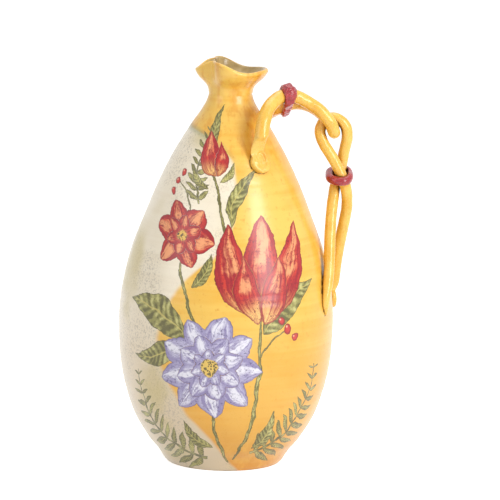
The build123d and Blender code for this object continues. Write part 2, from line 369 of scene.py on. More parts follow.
def clay_copy(name, nodes, grain, smoothing):
    """One lump of clay in the place of these nodes: their solids merged, grown together and smoothed."""
    shape = bmesh.new()
    for node in nodes:
        shape.from_mesh(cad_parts[node].data)
    bmesh.ops.remove_doubles(shape, verts=shape.verts, dist=EPSILON)
    mesh = bpy.data.meshes.new(name)
    shape.to_mesh(mesh)
    shape.free()
    holder = bpy.data.objects.new(name + "_form", mesh)
    bpy.context.scene.collection.objects.link(holder)
    remesh = holder.modifiers.new("grow_together", "REMESH")
    remesh.mode = "VOXEL"
    remesh.voxel_size = grain
    remesh.adaptivity = 0.0
    soften = holder.modifiers.new("soften", "SMOOTH")
    soften.factor = 0.5
    soften.iterations = smoothing
    bpy.context.view_layer.update()
    made = bpy.data.meshes.new_from_object(holder.evaluated_get(bpy.context.evaluated_depsgraph_get()))
    bpy.data.objects.remove(holder)
    bpy.data.meshes.remove(mesh)
    made.name = name
    made.materials.clear()
    shed_crumbs(made)
    return made


def lump_from(first, seen):
    """Every vertex that hangs together with the first one."""
    lump, waiting = [], [first]
    seen.add(first)
    while waiting:
        vertex = waiting.pop()
        lump.append(vertex)
        for edge in vertex.link_edges:
            other = edge.other_vert(vertex)
            if other not in seen:
                seen.add(other)
                waiting.append(other)
    return lump


def shed_crumbs(mesh):
    """Keeps the one large lump, without the crumbs that the remesh leaves at a solid's thin edges."""
    shape = bmesh.new()
    shape.from_mesh(mesh)
    seen = set()
    lumps = sorted((lump_from(vertex, seen) for vertex in shape.verts if vertex not in seen), key=len)
    crumbs = [vertex for lump in lumps[:-1] for vertex in lump]
    bmesh.ops.delete(shape, geom=crumbs, context="VERTS")
    shape.to_mesh(mesh)
    shape.free()


def worked(mesh, relief):
    """Moves each vertex out along its normal by what relief gives for its place and normal."""
    normals = [vertex.normal.copy() for vertex in mesh.vertices]
    for vertex, normal in zip(mesh.vertices, normals):
        vertex.co += normal * relief(vertex.co, normal)
    mesh.update()


def finger_marks(co, _):
    """The slow unevenness of clay rolled and bent by hand."""
    return 0.24 * MM * noise.noise(co / (9 * MM)) + 0.12 * MM * noise.noise(co / (3.5 * MM))


def sponge_lumps(co, _):
    """The pricked and crumbly clay of the knot."""
    crumbs = abs(noise.noise(co / (1.9 * MM))) - 0.25 * abs(noise.noise(co / (0.8 * MM)))
    return (0.15 + 0.95 * crumbs + 0.35 * noise.noise(co / (4.2 * MM))) * MM


def pinched_lumps(co, _):
    """The thumbed lumps of the band."""
    return (0.1 + 0.80 * noise.noise(co / (4.6 * MM)) + 0.20 * noise.noise(co / (1.9 * MM))) * MM


def wrung_round(middle, axis):
    """A relief for a ring about this axis: its full round section and the folds of its twisting."""
    half_height = 3.4 * MM

    def relief(co, normal):
        away = co - middle
        height = away.dot(axis)
        outwards = (away - axis * height).normalized()
        full = 1.25 * max(0.0, normal.dot(outwards)) * (1 - (height / half_height) ** 2)
        fold = 0.30 * sin(2 * atan2(away.y, away.x) + 600 * co.z) + 0.16 * noise.noise(co / (5 * MM))
        return (0.1 + full + fold + 0.05 * noise.noise(co / (1.6 * MM))) * MM
    return relief


def kept_within(mesh, limit):
    """Eases what has swelled past the handle's reach back inside it."""
    reach = max(vertex.co.x for vertex in mesh.vertices)
    if reach <= limit:
        return
    start = limit - 9 * MM
    for vertex in mesh.vertices:
        if vertex.co.x > start:
            vertex.co.x -= (reach - limit + 0.1 * MM) * ((vertex.co.x - start) / (reach - start)) ** 2
    mesh.update()


def drawn_in(mesh, node):
    """Draws the band in towards its rounded lower end, as it was squeezed round the rolls."""
    low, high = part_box(node)
    middle = (low.x + high.x) / 2
    for vertex in mesh.vertices:
        up = (vertex.co.z - low.z) / (high.z - low.z)
        width = 0.66 + 0.34 * min(1.0, up / 0.62) + 0.07 * sin(up * 17)
        width *= 0.42 + 0.58 * sqrt(1 - max(0.0, 1 - up / 0.17) ** 2)
        vertex.co.x = middle + (vertex.co.x - middle) * width - 1.6 * MM * (1 - up)
    mesh.update()


def surface_tree(mesh):
    """A mesh's faces, ready to be asked what lies near or ahead of a point."""
    shape = bmesh.new()
    shape.from_mesh(mesh)
    tree = BVHTree.FromBMesh(shape)
    shape.free()
    return tree


def pressed_stamp(piece, pad, sizes):
    """Presses the pad's rough oval and the small dimple under it into the end of a roll."""
    low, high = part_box(pad)
    seat, outward, _, _ = surface_tree(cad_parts["belly"].data).find_nearest((low + high) / 2)
    upward = (Vector((0, 0, 1)) - outward * outward.z).normalized()
    sideways = upward.cross(outward)
    top = max((vertex.co - seat).dot(outward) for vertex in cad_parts[pad].data.vertices)
    floor = top - sizes.stamp_depth
    pad_reach, pad_half_width, pad_drop = 24 * MM, 9.5 * MM, 10 * MM
    dimple_drop, dimple_radius, dimple_depth = 7.9 * MM, 1.6 * MM, 1.3 * MM
    for vertex in piece.data.vertices:
        away = vertex.co - seat
        height, up, aside = away.dot(outward), away.dot(upward), away.dot(sideways)
        if away.length > pad_reach or height < 0 or abs(aside) > pad_half_width or up < -pad_drop:
            continue
        above = up - sizes.stamp_lift
        oval = Vector((above / (sizes.stamp_length / 2), aside / (sizes.stamp_width / 2))).length
        grain = 0.34 * noise.noise(vertex.co / (1.3 * MM)) + 0.16 * noise.noise(vertex.co / (0.6 * MM))
        rim = 0.35 * exp(-((oval - 1.22) / 0.2) ** 2)
        crowned = top + (0.5 - 1.2 * (aside / (8.5 * MM)) ** 2 + rim + 0.3 * grain) * MM
        outside = eased((oval - 0.88) / 0.24)
        wanted = (floor + grain * MM) * (1 - outside) + crowned * outside
        on_roll = eased((above - 3 * MM) / (14 * MM))
        vertex.co += outward * (min(height, wanted) - height) * (1 - on_roll)
        dimple = Vector((up + dimple_drop, aside)).length / dimple_radius
        if dimple < 1:
            vertex.co -= outward * dimple_depth * (1 - dimple) ** 0.7
    piece.data.update()


def crevices(pieces, reach):
    """Marks each vertex by how much its neighbours close it in, where the glaze is darkened: partly pooled
    glaze, partly painted shade.
    """
    lean = radians(50)
    tilts = [Vector((0, 0, 1))]
    tilts += [Vector((sin(lean) * cos(turn), sin(lean) * sin(turn), cos(lean)))
              for turn in (0.0, 2 * pi / 3, 4 * pi / 3)]
    trees = [surface_tree(piece.data) for piece in pieces]
    for piece in pieces:
        marks = []
        for vertex in piece.data.vertices:
            start = vertex.co + vertex.normal * 0.35 * MM
            facing = vertex.normal.to_track_quat("Z", "Y")
            closed = 0.0
            for tilt in tilts:
                nearest = reach
                for tree in trees:
                    distance = tree.ray_cast(start, facing @ tilt, nearest)[3]
                    if distance is not None:
                        nearest = distance
                closed += 1 - nearest / reach
            marks.append(closed / len(tilts))
        piece.data.attributes.new("crevice", "FLOAT", "POINT").data.foreach_set("value", marks)


def sum_of(operation):
    """A method of Value that adds the node of this sum."""
    return lambda value, other=0.0: value.wiring.math(operation, value, other)


class Value:
    """What a shader node puts out. Each sum or method adds the nodes that work it out."""
    __add__ = sum_of("ADD")
    __sub__ = sum_of("SUBTRACT")
    __mul__ = __rmul__ = sum_of("MULTIPLY")
    __truediv__ = sum_of("DIVIDE")
    __pow__ = sum_of("POWER")
    __abs__ = sum_of("ABSOLUTE")
    __gt__ = sum_of("GREATER_THAN")
    __lt__ = sum_of("LESS_THAN")
    most = sum_of("MAXIMUM")
    sine = sum_of("SINE")
    cosine = sum_of("COSINE")
    floor = sum_of("FLOOR")
    rounded = sum_of("ROUND")
    arctan2 = sum_of("ARCTAN2")
    modulo = sum_of("FLOORED_MODULO")

    def __init__(self, wiring, socket):
        self.wiring = wiring
        self.socket = socket

    def __rsub__(self, other):
        return self.wiring.math("SUBTRACT", other, self)

    def clamp(self):
        """This number held between 0 and 1."""
        return self.wiring.result("ShaderNodeClamp", {"Value": self})

    def step(self, low, high):
        """0 where this number is low, 1 where it is high and a smooth step between."""
        inputs = {"Value": self, "From Min": low, "From Max": high, "To Min": 0.0, "To Max": 1.0}
        return self.wiring.result("ShaderNodeMapRange", inputs, "Result", interpolation_type="SMOOTHSTEP")

    def blend(self, first, second):
        """Two colours mixed, by this share of the second."""
        return self.wiring.result("ShaderNodeMix", {0: self, 6: first, 7: second}, 2,
                                  data_type="RGBA", clamp_factor=True)

    def swap(self, first, second):
        """Two vectors mixed, by this share of the second."""
        return self.wiring.result("ShaderNodeMix", {0: self, 4: first, 5: second}, 1, data_type="VECTOR")

    def vector(self, operation, other=(0, 0, 0)):
        """One sum of this vector and another."""
        output = "Value" if operation in ("LENGTH", "DISTANCE") else "Vector"
        return self.wiring.result("ShaderNodeVectorMath", {0: self, 1: other}, output, operation=operation)

    def parts(self):
        """This vector's three numbers."""
        return [Value(self.wiring, part)
                for part in self.wiring.add("ShaderNodeSeparateXYZ", {0: self}).outputs]

    def noise(self, scale, detail=2.0, roughness=0.5, output="Fac"):
        """A soft random value for this place, at one scale or one for each axis."""
        place, scale = (self.vector("MULTIPLY", scale), 1.0) if isinstance(scale, tuple) else (self, scale)
        inputs = {"Vector": place, "Scale": scale, "Detail": detail, "Roughness": roughness}
        return self.wiring.result("ShaderNodeTexNoise", inputs, output)


def together(x, y, z):
    """A vector of three numbers."""
    return x.wiring.result("ShaderNodeCombineXYZ", {0: x, 1: y, 2: z})


def coated(colour, *coats):
    """A colour with coats of others over it, each given as its share and its colour."""
    for share, coat in coats:
        colour = share.blend(colour, coat)
    return colour


class Wiring:
    """Adds shader nodes to one tree and joins them. What goes in is a Value or plain numbers."""

    def __init__(self, tree):
        self.tree = tree

    def join(self, value, socket):
        """Links a socket to where its value comes from, or sets it."""
        if isinstance(value, Value):
            self.tree.links.new(value.socket, socket)
        elif socket.type == "RGBA":
            socket.default_value = (*value, 1.0)
        else:
            socket.default_value = value

    def add(self, kind, inputs=(), **choices):
        """A node with its choices set and its inputs given by name or number."""
        node = self.tree.nodes.new(kind)
        for choice, value in choices.items():
            setattr(node, choice, value)
        for place, value in dict(inputs).items():
            self.join(value, node.inputs[place])
        return node

    def result(self, kind, inputs=(), output=0, **choices):
        """What a new node puts out."""
        return Value(self, self.add(kind, inputs, **choices).outputs[output])

    def math(self, operation, first, second):
        """One sum."""
        return self.result("ShaderNodeMath", {0: first, 1: second}, operation=operation)

    def mark(self, name):
        """A number stored on the mesh for each vertex."""
        return self.result("ShaderNodeAttribute", output="Fac", attribute_name=name)

    def use(self, group, **inputs):
        """What a node group in this tree puts out, with its inputs given by name."""
        node = self.add("ShaderNodeGroup", inputs, node_tree=group)
        return [Value(self, output) for output in node.outputs]


def make_group(name, work, vectors, numbers, **outputs):
    """A node group whose inputs are these vectors and numbers. The work turns them into its outputs."""
    tree = bpy.data.node_groups.new(name, "ShaderNodeTree")
    kinds = {"number": "NodeSocketFloat", "vector": "NodeSocketVector", "colour": "NodeSocketColor"}
    sockets = [(label, "INPUT", "vector") for label in vectors]
    sockets += [(label, "INPUT", "number") for label in numbers]
    sockets += [(label, "OUTPUT", kind) for label, kind in outputs.items()]
    for label, way, kind in sockets:
        tree.interface.new_socket(label, in_out=way, socket_type=kinds[kind])
    wiring = Wiring(tree)
    sources = wiring.add("NodeGroupInput").outputs
    results = work(*(Value(wiring, sources[label]) for label in vectors + numbers))
    results = results if isinstance(results, tuple) else (results,)
    for value, socket in zip(results, wiring.add("NodeGroupOutput").inputs):
        wiring.join(value, socket)
    return tree


def swelling(inside, fullness, tip):
    """How wide a stroke is for its place along it: 0 at its ends and 1 where it is fullest."""
    return (inside ** fullness * pi).sine().most(0.0) ** tip


def brush_stroke(place, middle, angle, length, width, bend, fullness, tip):
    """A stroke of the brush: how deep a place lies inside it, how far along it and how far across."""
    local = place.vector("SUBTRACT", middle)
    turned = {"Vector": local, "Angle": angle * -1.0}
    x, y, _ = place.wiring.result("ShaderNodeVectorRotate", turned, rotation_type="Z_AXIS").parts()
    half = x / length
    y = y - (half * half * -4.0 + 1.0) * bend
    inside = (half + 0.5).clamp()
    reach = swelling(inside, fullness, tip) * width * 0.5
    beyond = (abs(half) - 0.5).most(0.0) * length
    return together(reach - abs(y) - beyond, inside, y / reach.most(least_half_width))


def rosette(place, middle, radius, petals, turn, width, fullness, tip):
    """A ring of like petals round a middle: the place in its petal, and the petal's number."""
    local = place.vector("SUBTRACT", middle)
    x, y, _ = local.parts()
    cell = (y.arctan2(x) + turn) * petals / (2 * pi)
    petal = cell.rounded()
    turned = (cell - petal) / petals * (2 * pi)
    reach = local.vector("LENGTH")
    across = reach * turned.sine()
    inside = (reach * turned.cosine() / radius).clamp()
    half = swelling(inside, fullness, tip) * width * 0.5
    return together(half - abs(across), inside, across / half.most(least_half_width)), petal


def only_where(real, depth):
    """A depth that is kept where real is 1, and lies well outside where it is 0."""
    return (depth + far_outside) * real - far_outside


def frond(place, middle, radius, start, sweep, pairs, leaflet, breadth, slant, rib):
    """A frond: a rib bent to part of a circle, with pairs of leaflets that shorten to its tip."""
    local = place.vector("SUBTRACT", middle)
    x, y, _ = local.parts()
    angle = (y.arctan2(x) - start + pi).modulo(2 * pi) - pi
    along = angle / sweep
    aside = abs(local.vector("LENGTH") - radius)
    length = abs(sweep * radius)
    cell = (along - aside * slant / length) * pairs
    number = cell.floor()
    near_tip = number / pairs
    taper = near_tip * near_tip * -0.75 + 1.0
    inside = (aside / (leaflet * taper)).clamp()
    half = swelling(inside, 0.8, 0.8) * breadth * taper * 0.5
    off = (cell - number - 0.5) * (length / pairs)
    depth = only_where((number > -0.5) * (number < pairs - 0.5), half - abs(off))
    on_leaflet = together(depth, inside, off / half.most(least_half_width))
    rib_depth = only_where((along > 0.0) * (along < 1.0), rib * (along * -0.5 + 0.8) - aside)
    return (rib_depth > 0.0).swap(on_leaflet, together(rib_depth, along, 0.9))


def shade(red, green, blue):
    """A colour as the eye reads it, from 0 to 255, turned into linear light."""
    parts = [part / 255 for part in (red, green, blue)]
    return tuple(part / 12.92 if part < 0.04045 else ((part + 0.055) / 1.055) ** 2.4 for part in parts)


# Petals' colours: their edge, body, light, heart, drawn outline and sponged dots
coral_paints = (shade(160, 26, 38), shade(208, 58, 44), shade(243, 164, 112),
                shade(244, 200, 122), shade(100, 18, 28), shade(126, 12, 30))
violet_paints = (shade(146, 136, 178), shade(190, 184, 212), shade(234, 232, 242),
                 shade(120, 108, 160), shade(72, 60, 92), shade(88, 76, 122))


def petal_paint(edge, body, light, heart, outline, dots):
    """The work of a petal's paint: streaks from heart to tip, sponged dots and a drawn edge."""

    def work(stroke, place, seed):
        depth, along, across = stroke.parts()
        streak = together(across * 2.6, along * 1.1, seed * 3.7).noise(1.9, 4.0, 0.62)
        cloud, sponge = place.noise(75.0, 3.0, 0.6), place.noise(520.0, 3.0, 0.7)
        lit = (across * across * -0.75 + 1.0) * along.step(0.12, 0.6) * (streak + cloud)
        drawn = depth.step(0.75 * MM, 0.3 * MM) * cloud.step(0.3, 0.45)
        return coated(streak.step(0.38, 0.62).blend(edge, body), (lit.step(0.76, 1.08), light),
                      (along.step(0.42, 0.12) * streak.step(0.35, 0.6), heart),
                      (depth.step(3.4 * MM, 0.6 * MM) * 0.75, edge),
                      (sponge.step(0.52, 0.64) * cloud.step(0.66, 0.44) * 0.8, dots),
                      (drawn * 0.85, outline))
    return work


def leaf_paint(stroke, place):
    """A leaf's colour from its stroke: a pale rib, slanted veins, mottling and a dark edge."""
    depth, along, across = stroke.parts()
    aside = abs(across)
    cloud, sponge = place.noise(90.0, 4.0, 0.65), place.noise(480.0, 3.0, 0.7)
    level = cloud + (along * 60.0 - aside * 7.0).sine() * 0.09
    rib = aside.step(0.10, 0.03) * depth.step(1.2 * MM, 2.4 * MM)
    drawn = depth.step(0.9 * MM, 0.3 * MM) * cloud.step(0.3, 0.5)
    colour = level.step(0.38, 0.56).blend(shade(104, 98, 52), shade(158, 152, 86))
    return coated(colour, (level.step(0.54, 0.68), shade(203, 196, 128)),
                  (sponge.step(0.55, 0.66) * 0.55, shade(74, 72, 48)),
                  (rib * 0.8, shade(206, 190, 110)), (drawn * 0.8, shade(70, 62, 36)))


# The painted spray, in millimetres round from the front and up from the foot. A stroke is its
# middle, its angle in degrees, its length, width and bend, and the shape of its swell and tips.
stems = (
    (-2, 40, 104, 66, 3.2, 5, 1.0, 0.25), (18, 72, 82, 122, 3.4, -9, 1.0, 0.25),
    (-26, 142, 112, 66, 2.8, 5, 1.0, 0.25), (-9, 196, 96, 90, 2.6, -6, 1.0, 0.25),
    (40, 108, 48, 34, 1.7, 4, 1.0, 0.25), (-36, 220, 118, 26, 1.6, -3, 1.0, 0.25),
)
leaves = (
    (55, 137, 38, 62, 25, 6, 0.75, 1.0), (-62, 126, 158, 64, 27, -7, 0.75, 1.0),
    (-60, 102, 196, 46, 18, 5, 0.75, 1.0), (14, 222, 62, 50, 12, 6, 0.8, 1.0),
    (-8, 270, 78, 44, 8, 4, 0.8, 1.0), (-20, 166, 62, 30, 9, -4, 0.8, 1.0),
    (32, 38, 58, 38, 11, -5, 0.8, 1.0), (-20, 34, 136, 34, 10, 5, 0.8, 1.0),
    (-22, 236, 128, 22, 7, 3, 0.8, 1.0), (-2, 240, 58, 20, 7, -3, 0.8, 1.0),
)
tulip = (
    (28, 168, 90, 80, 34, 0, 0.85, 0.8), (11, 166, 107, 78, 27, 7, 0.9, 0.8),
    (46, 165, 72, 76, 27, -7, 0.9, 0.8), (19, 152, 103, 54, 22, 3, 0.8, 0.8),
    (38, 151, 76, 54, 23, -3, 0.8, 0.8), (-13, 254, 97, 34, 17, 2, 0.8, 0.9),
    (-8, 250, 82, 26, 10, -2, 0.8, 0.9),
)
# A frond is its circle's middle and radius, where it starts and how far it sweeps in degrees,
# its pairs of leaflets, a leaflet's length, breadth and slant, and the rib's thickness
fronds = (
    (8, 92, 75, -80, 78, 12, 16, 6.5, 0.55, 1.6), (-4, 88, 76, -96, -80, 12, 16, 6.5, 0.55, 1.6),
    (62, 232, 87, 190, -38, 9, 10, 5.0, 0.5, 1.2),
)
# A rosette is its middle, its radius, its number of petals, its turn in degrees, a petal's width,
# and the shape of the petal's swell and tip
coral_rosettes = ((-37, 192, 27, 6, 12, 19, 1.25, 0.7), (-37, 192, 16, 6, 41, 11, 1.25, 0.7))
violet_rosettes = (
    (-12, 91, 42, 9, 4, 23, 1.25, 0.7), (-12, 91, 28, 8, 27, 17, 1.25, 0.7),
    (-12, 91, 16, 7, 9, 10, 1.25, 0.7),
)
# A heart is its middle, its radius and its dark and light colours, and a berry its middle and radius
flower_hearts = ((-12, 91, 7.5, shade(92, 78, 44), shade(226, 190, 96)),
                 (-37, 192, 5.0, shade(84, 58, 30), shade(232, 184, 84)))
berries = ((53, 121, 4.2), (60, 114, 3.8), (46, 127, 3.6), (-44, 231, 3.4), (-39, 238, 3.0), (-48, 223, 3.0))

# What each group is given beside a middle: its numbers, in the order of the tables
stroke_numbers = ("Angle", "Length", "Width", "Bend", "Fullness", "Tip")
rosette_numbers = ("Radius", "Petals", "Turn", "Width", "Fullness", "Tip")
frond_numbers = ("Radius", "Start", "Sweep", "Pairs", "Leaflet", "Breadth", "Slant", "Rib")
in_millimetres = ("Length", "Width", "Bend", "Radius", "Leaflet", "Breadth", "Rib")
in_degrees = ("Angle", "Turn", "Start", "Sweep")


def group_inputs(names, across, up, *numbers):
    """A row of the tables as its group takes it: by name, in metres and radians."""
    inputs = {"Middle": (across * MM, up * MM, 0)}
    for name, number in zip(names, numbers):
        if name in in_millimetres:
            number *= MM
        inputs[name] = radians(number) if name in in_degrees else number
    return inputs


class Layer:
    """Strokes of one paint laid over each other, with the topmost one's shape and seed."""
    seed_step = 1.618

    def __init__(self):
        self.stroke = None
        self.seed = 0.0
        self.count = 0

    def lay(self, stroke, number=0.0):
        """Lays one more stroke over the others."""
        self.count += 1
        seed = number + self.count * self.seed_step
        if self.stroke is None:
            self.stroke, self.seed = stroke, seed
            return
        on_top = stroke.parts()[0] > 0.0
        self.stroke = on_top.swap(self.stroke, stroke)
        self.seed = self.seed * (1.0 - on_top) + seed * on_top

    def cover(self):
        """1 where the layer's paint lies."""
        return self.stroke.parts()[0].step(-0.1 * MM, 0.25 * MM)


def painted_place(place, x, y, z):
    """Where a point lies round the pot and up it, with the hand's unsteadiness."""
    round_pot = x.arctan2(y * -1.0) * together(x, y, 0.0).vector("LENGTH")
    flat = together(round_pot, z, 0.0)
    for scale, reach in ((55.0, 7.5 * MM), (420.0, 1.4 * MM)):
        sway = place.noise(scale, 1.0, output="Color").vector("SUBTRACT", (0.5, 0.5, 0.5))
        flat = flat.vector("ADD", sway.vector("MULTIPLY", (reach, reach, 0.0)))
    return flat


def painted(wiring, colour, flat):
    """The ground with the spray of flowers and fronds over it, and where its paint lies."""
    placed, seeded = ("Place", "Middle"), ("Seed",)
    brush = make_group("brush_stroke", brush_stroke, placed, stroke_numbers, Stroke="vector")
    ring = make_group("rosette", rosette, placed, rosette_numbers, Stroke="vector", Petal="number")
    fern = make_group("frond", frond, placed, frond_numbers, Stroke="vector")
    green, violet, coral = Layer(), Layer(), Layer()
    for layer, group, names, rows in ((green, fern, frond_numbers, fronds),
                                      (green, brush, stroke_numbers, stems + leaves),
                                      (violet, ring, rosette_numbers, violet_rosettes),
                                      (coral, ring, rosette_numbers, coral_rosettes),
                                      (coral, brush, stroke_numbers, tulip)):
        for numbers in rows:
            layer.lay(*wiring.use(group, Place=flat, **group_inputs(names, *numbers)))
    cover = 0.0
    for layer, name, work, numbers in ((green, "leaf_paint", leaf_paint, ()),
                                       (violet, "violet_petal", petal_paint(*violet_paints), seeded),
                                       (coral, "coral_petal", petal_paint(*coral_paints), seeded)):
        paint = make_group(name, work, ("Stroke", "Place"), numbers, Colour="colour")
        seeds = dict.fromkeys(numbers, layer.seed)
        drawn, = wiring.use(paint, Stroke=layer.stroke, Place=flat, **seeds)
        covered = layer.cover()
        colour = covered.blend(colour, drawn)
        cover = covered.most(cover)
    return berried(hearted(colour, flat), flat), cover


def hearted(colour, flat):
    """The painting with the flowers' stippled hearts."""
    dots = flat.wiring.result("ShaderNodeTexVoronoi", {"Vector": flat, "Scale": 620.0}, "Distance")
    for across, up, radius, deep, light in flower_hearts:
        reach = flat.vector("DISTANCE", (across * MM, up * MM, 0))
        heart = dots.step(0.35, 0.55).blend(deep, light)
        colour = reach.step(radius * MM, (radius - 1) * MM).blend(colour, heart)
    return colour


def berried(colour, flat):
    """The painting with its berries, each with a glint."""
    for across, up, radius in berries:
        reach = flat.vector("DISTANCE", (across * MM, up * MM, 0))
        glint = flat.vector("DISTANCE", ((across - radius * 0.3) * MM, (up + radius * 0.35) * MM, 0))
        berry = reach.step(radius * 0.4 * MM, radius * MM).blend(shade(206, 62, 54), shade(128, 22, 36))
        berry = glint.step(radius * 0.35 * MM, radius * 0.1 * MM).blend(berry, shade(246, 190, 160))
        colour = reach.step(radius * MM, (radius - 0.5) * MM).blend(colour, berry)
    return colour


def start_tree(owner, output):
    """The emptied shader tree of a material or world: its wiring, and the socket of its surface."""
    owner.use_nodes = True
    owner.node_tree.nodes.clear()
    wiring = Wiring(owner.node_tree)
    return wiring, wiring.add(output).inputs[0]


def start_material(name):
    """A material with its wiring, its surface shader and its place on the object."""
    material = bpy.data.materials.new(name)
    wiring, surface = start_tree(material, "ShaderNodeOutputMaterial")
    shader = wiring.add("ShaderNodeBsdfPrincipled")
    wiring.join(Value(wiring, shader.outputs[0]), surface)
    return material, wiring, shader, wiring.result("ShaderNodeTexCoord", output="Object")


def fire(wiring, shader, colour, rough, ripple, relief, coat, coat_rough):
    """Gives a glaze its colour, its roughness, its ripples and the clear coat over it."""
    bump = {"Strength": relief, "Distance": 0.4 * MM, "Height": ripple}
    wiring.join(colour, shader.inputs["Base Color"])
    wiring.join(rough, shader.inputs["Roughness"])
    wiring.join(wiring.result("ShaderNodeBump", bump, "Normal"), shader.inputs["Normal"])
    shader.inputs["Coat Weight"].default_value = coat
    shader.inputs["Coat Roughness"].default_value = coat_rough


def painted_glaze(colours):
    """The pot's glaze: cream and ochre grounds with a painted spray of flowers and fronds."""
    material, wiring, shader, place = start_material("painted_glaze")
    x, y, z = place.parts()
    side = past_edge(place, x, z)
    cream, ochre = cream_ground(colours, place, x, z), ochre_ground(colours, place, z)
    tinged = abs(side).step(10 * MM, 1 * MM) * z.step(235 * MM, 275 * MM)
    colour = side.step(-2 * MM, 3 * MM).blend(cream, ochre)
    colour = (tinged * 0.6).blend(colour, shade(160, 158, 112))
    colour, cover = painted(wiring, colour, painted_place(place, x, y, z))
    throat = place.noise((90.0, 90.0, 27.0), 3.0, 0.55)
    lining = throat.step(0.35, 0.65).blend(shade(150, 122, 66), shade(186, 158, 100))
    inner = wiring.mark("inner").step(0.5, 1.0)
    # Darker brown where neighbours close the pot in: partly pooled glaze, partly painted shade.
    closed = wiring.mark("crevice").step(0.12, 0.6) * (1.0 - inner)
    bare = (z + place.noise(120.0) * (1.6 * MM)).step(1.6 * MM, 1.1 * MM)
    colour = coated(colour, (inner, lining), (closed * 0.85, colours.brown), (bare, colours.clay))
    rough = place.noise(900.0, 3.0, 0.6) * 0.16 + 0.22 + cover * 0.06 + bare * 0.5
    fire(wiring, shader, colour, rough, place.noise(160.0), relief=0.25, coat=0.2, coat_rough=0.16)
    return material


def past_edge(place, x, z):
    """How far a place lies past the wavering edge between the grounds, towards the handle."""
    curve = z.wiring.add("ShaderNodeFloatCurve", {"Value": z / painted_height})
    points = curve.mapping.curves[0].points
    curve.mapping.clip_min_y, curve.mapping.clip_max_y = -1.0, 1.0
    for point, (share, edge) in zip(points, (ground_edge_shares[0], ground_edge_shares[-1])):
        point.location = (share, (edge + 1) / 2)
    for share, edge in ground_edge_shares[1:-1]:
        points.new(share, (edge + 1) / 2)
    curve.mapping.update()
    edge = (Value(z.wiring, curve.outputs[0]) * 2.0 - 1.0) * belly_reach
    return x - edge + (place.noise(28.0) * (12 * MM) - 6 * MM)


def glaze_bands(place):
    """Faint level bands, as a turning pot is glazed."""
    return place.noise((6.0, 6.0, 230.0))


def ochre_ground(colours, place, z):
    """The yellow ground: clouds and bands, dark flecks, runs at the neck, and deeper low down as painted
    shade.
    """
    runs = place.noise((150.0, 150.0, 9.0), 3.0, 0.6)
    level = place.noise(16.0, 3.0, 0.55) + (glaze_bands(place) * 0.5 - 0.25)
    colour = level.step(0.35, 0.65).blend(colours.ochre, colours.ochre_pale)
    flecks = place.noise(260.0, 4.0, 0.65).step(0.56, 0.8)
    neck_runs = z.step(225 * MM, 275 * MM) * runs.step(0.44, 0.62)
    foot_runs = z.step(50 * MM, 4 * MM) * runs.step(0.3, 0.6)
    # Deeper ochre towards the foot: painted shade.
    low = z.step(170 * MM, 30 * MM)
    deep = colours.ochre_deep
    return coated(colour, (flecks * 0.8, deep), (neck_runs * 0.5, deep), (foot_runs * 0.6, deep),
                  (low * 0.45, deep))


# Olive stains in the cream ground: each one's place across and up, and its reach across and up
stains = ((-0.056, 0.068, 0.016, 0.032), (-0.078, 0.152, 0.012, 0.022), (-0.036, 0.014, 0.020, 0.010))


def cream_ground(colours, place, x, z):
    """The cream ground: greyer low down, with faint bands, specks, crazing and olive stains."""
    greyer = (place.noise(16.0, 3.0, 0.55) * 0.08 + z).step(210 * MM, 80 * MM)
    bands = glaze_bands(place).step(0.45, 0.7)
    patch = place.noise(24.0).step(0.42, 0.60)
    specks = place.noise(640.0, 3.0, 0.7).step(0.51, 0.60) * patch
    lines = abs((place.noise(30.0, 1.0, 0.4) * 70.0).sine())
    crazing = lines.step(0.16, 0.03) * patch.step(0.3, 0.9)
    stain = place.noise(18.0, 1.0).step(0.56, 0.72)
    fray = place.noise(70.0, 3.0, 0.6)
    for across, up, wide, tall in stains:
        away = together((x - across) / wide, (z - up) / tall, fray)
        stain = stain.most(away.vector("LENGTH").step(1.15, 0.45))
    return coated(colours.cream, (greyer, colours.cream_grey), (bands * 0.18, colours.cream_grey),
                  (specks * 0.40, shade(150, 138, 122)), (crazing * 0.22, shade(150, 132, 100)),
                  (stain * 0.62, colours.stain))


def roll_glaze(colours):
    """The handle's yellow glaze, paler in clouds and streaked along, and darker in the crevices with pooled
    glaze and painted shade.
    """
    material, wiring, shader, place = start_material("roll_glaze")
    streak = place.noise((420.0, 420.0, 60.0), 3.0, 0.6)
    level = place.noise(60.0, 3.0, 0.55) + (streak * 0.4 - 0.2)
    # The crevice mark darkens the glaze: partly pooled glaze, partly painted shade.
    closed = wiring.mark("crevice")
    colour = level.step(0.35, 0.66).blend(colours.ochre, colours.ochre_pale)
    colour = coated(colour, (streak.step(0.56, 0.75) * 0.55, colours.ochre_deep),
                    (closed.step(0.02, 0.3) * 0.55, colours.ochre_deep),
                    (closed.step(0.22, 0.6) * 0.9, colours.brown))
    rough = place.noise(700.0, 3.0, 0.6) * 0.2 + 0.18
    fire(wiring, shader, colour, rough, place.noise(240.0), relief=0.3, coat=0.2, coat_rough=0.14)
    return material


def tie_glaze(colours):
    """The crimson glaze of the ties, sponged dark, with lighter clouds as painted highlights, and darker in
    the crevices with pooled glaze and painted shade.
    """
    material, wiring, shader, place = start_material("tie_glaze")
    sponge = place.noise(850.0, 3.0, 0.7)
    # Lighter red in random clouds: painted highlights.
    lumps = place.noise(210.0, 3.0, 0.6).step(0.50, 0.72)
    colour = coated(colours.crimson, (lumps, colours.crimson_highlight),
                    (sponge.step(0.50, 0.64) * 0.6, colours.crimson_deep),
                    # Darker in the crevices: partly pooled glaze, partly painted shade.
                    (wiring.mark("crevice").step(0.05, 0.5), colours.crimson_deep))
    fire(wiring, shader, colour, sponge * 0.25 + 0.12, place.noise(700.0, 2.0, 0.6),
         relief=0.45, coat=0.4, coat_rough=0.1)
    return material


